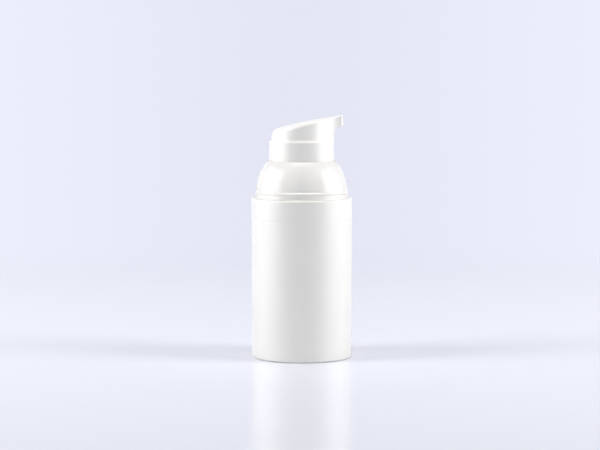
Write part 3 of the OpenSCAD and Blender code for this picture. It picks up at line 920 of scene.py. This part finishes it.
def floor_material():
    # Lacquered board: pale, a little blue, and smooth enough to mirror the bottle softly. Away from the
    # bottle it fades into a painted glow in the backdrop's colour, as if the board were swept up behind
    # and lit.
    made, tree, shader, place = new_material("lacquered_board_and_glow")
    feed(tree, shader, {"Base Color": linear("#EFF1FC"), "Roughness": 0.16})
    far = add(tree, "ShaderNodeVectorMath", {0: place}, operation="LENGTH")
    fade = add(tree, "ShaderNodeMapRange", {
        "Value": far.outputs["Value"], "From Min": FADE_START, "From Max": FADE_END,
    }, interpolation_type="SMOOTHSTEP")
    parts = add(tree, "ShaderNodeSeparateXYZ", {"Vector": place}).outputs
    slant = maths(tree, "DIVIDE", parts["X"], maths(tree, "ADD", parts["Y"], -CAMERA.y * MM))
    # Painted glow: the far floor emits the backdrop's colour, paler to the sides, instead of being lit
    # by the lamps.
    glow = add(tree, "ShaderNodeEmission", {"Color": backdrop_glow(tree, slant), "Strength": 1.0})
    mixed = add(tree, "ShaderNodeMixShader", {
        0: fade.outputs["Result"], 1: shader.outputs["BSDF"], 2: glow.outputs["Emission"],
    })
    tree.links.new(mixed.outputs["Shader"], tree.nodes["Material Output"].inputs["Surface"])
    return made


def backdrop():
    """World: the camera sees the backdrop, mirrors see the room in front too, and light fills in."""
    world = bpy.data.worlds.new("studio")
    bpy.context.scene.world = world
    world.use_nodes = True
    tree = world.node_tree
    tree.nodes.clear()

    def shine(colour, strength):
        return add(tree, "ShaderNodeBackground", {"Color": colour, "Strength": strength}).outputs[0]

    def choice(share, first, second):
        return add(tree, "ShaderNodeMixShader", {0: share, 1: first, 2: second}).outputs[0]

    white = linear("#FFFFFF")
    way = add(tree, "ShaderNodeTexCoord").outputs["Generated"]
    parts = add(tree, "ShaderNodeSeparateXYZ", {"Vector": way}).outputs
    pale = add(tree, "ShaderNodeMapRange", {
        "Value": maths(tree, "ABSOLUTE", parts["X"]), "From Min": 0.03, "From Max": 0.5,
        "To Min": ROOM_DARK, "To Max": ROOM_PALE,
    })
    ray = add(tree, "ShaderNodeLightPath").outputs
    front = maths(tree, "LESS_THAN", parts["Y"], 0.0)
    mirrored = maths(tree, "MULTIPLY", front, ray["Is Glossy Ray"])
    backdrop_seen = shine(backdrop_glow(tree, parts["X"]), 1.0)
    around = choice(mirrored, backdrop_seen, shine(white, pale.outputs["Result"]))
    direct = maths(tree, "MAXIMUM", ray["Is Camera Ray"], ray["Is Glossy Ray"])
    sharp = maths(tree, "MAXIMUM", direct, ray["Is Transmission Ray"])
    add(tree, "ShaderNodeOutputWorld", {"Surface": choice(sharp, shine(white, AMBIENT), around)})


def area_light(name, middle, facing, width, height, radiance):
    """A rectangular lamp whose surface has a given brightness, where 1 is white."""
    data = bpy.data.lights.new(name, "AREA")
    data.shape = "RECTANGLE"
    data.size = width
    data.size_y = height
    data.energy = 4 * width * height * radiance
    made = bpy.data.objects.new(name, data)
    bpy.context.scene.collection.objects.link(made)
    made.location = middle
    made.rotation_euler = facing.to_track_quat("-Z", "Y").to_euler()
    made.visible_camera = False
    return made


def upright_light(name, edges, height, radiance):
    """An upright lamp between two edges, each at an azimuth and a distance from the bottle."""
    ends = []
    for azimuth, distance in edges:
        a = math.radians(azimuth)
        ends.append(Vector((math.sin(a), -math.cos(a), 0)) * distance)
    along = ends[1] - ends[0]
    facing = Vector((along.y, -along.x, 0))
    middle = (ends[0] + ends[1]) / 2
    if facing.dot(middle) > 0:
        facing.negate()
    middle.z = height / 2
    return area_light(name, middle, facing, along.length, height, radiance)


def floor():
    """Round floor under the bottle."""
    bm = bmesh.new()
    bmesh.ops.create_circle(bm, cap_ends=True, segments=96, radius=FLOOR_R)
    made = new_object("floor", bm)
    made.data.materials.append(floor_material())
    return made


def camera():
    """Camera of the photograph."""
    data = bpy.data.cameras.new("camera")
    data.sensor_width = SENSOR_W
    data.lens = FOCAL_PIXELS * SENSOR_W / PICTURE_W
    made = bpy.data.objects.new("camera", data)
    bpy.context.scene.collection.objects.link(made)
    made.location = CAMERA * MM
    made.rotation_euler = (math.radians(90 - CAMERA_PITCH), 0, 0)
    bpy.context.scene.camera = made


# Seen from the side, the floor would mirror the windows far too brightly, so they leave it out.
left_out = bpy.data.collections.new("windows_leave_out")
left_out.objects.link(floor())
left_out.collection_objects[0].light_linking.link_state = "EXCLUDE"
backdrop()
for side, window, wall in (("left", WINDOW_LEFT, WALL_LEFT), ("right", WINDOW_RIGHT, WALL_RIGHT)):
    lamp = upright_light("window_" + side, window, WINDOW_H, WINDOW_LIGHT)
    lamp.visible_diffuse = False
    lamp.light_linking.receiver_collection = left_out
    upright_light("wall_" + side, wall, WALL_H, WALL_LIGHT).visible_glossy = False
area_light("top_light", Vector((0, 0, TOP_Z)), Vector((0, 0, -1)), TOP_SIZE, TOP_SIZE, TOP_LIGHT)
turn, rise = (math.radians(a) for a in SPOT_AIM)
aim = Vector((math.sin(turn) * math.cos(rise), -math.cos(turn) * math.cos(rise), math.sin(rise)))
area_light("spot", aim, -aim, SPOT_SIZE, SPOT_SIZE, SPOT_LIGHT).visible_diffuse = False
camera()
bpy.context.scene.view_settings.view_transform = "Standard"
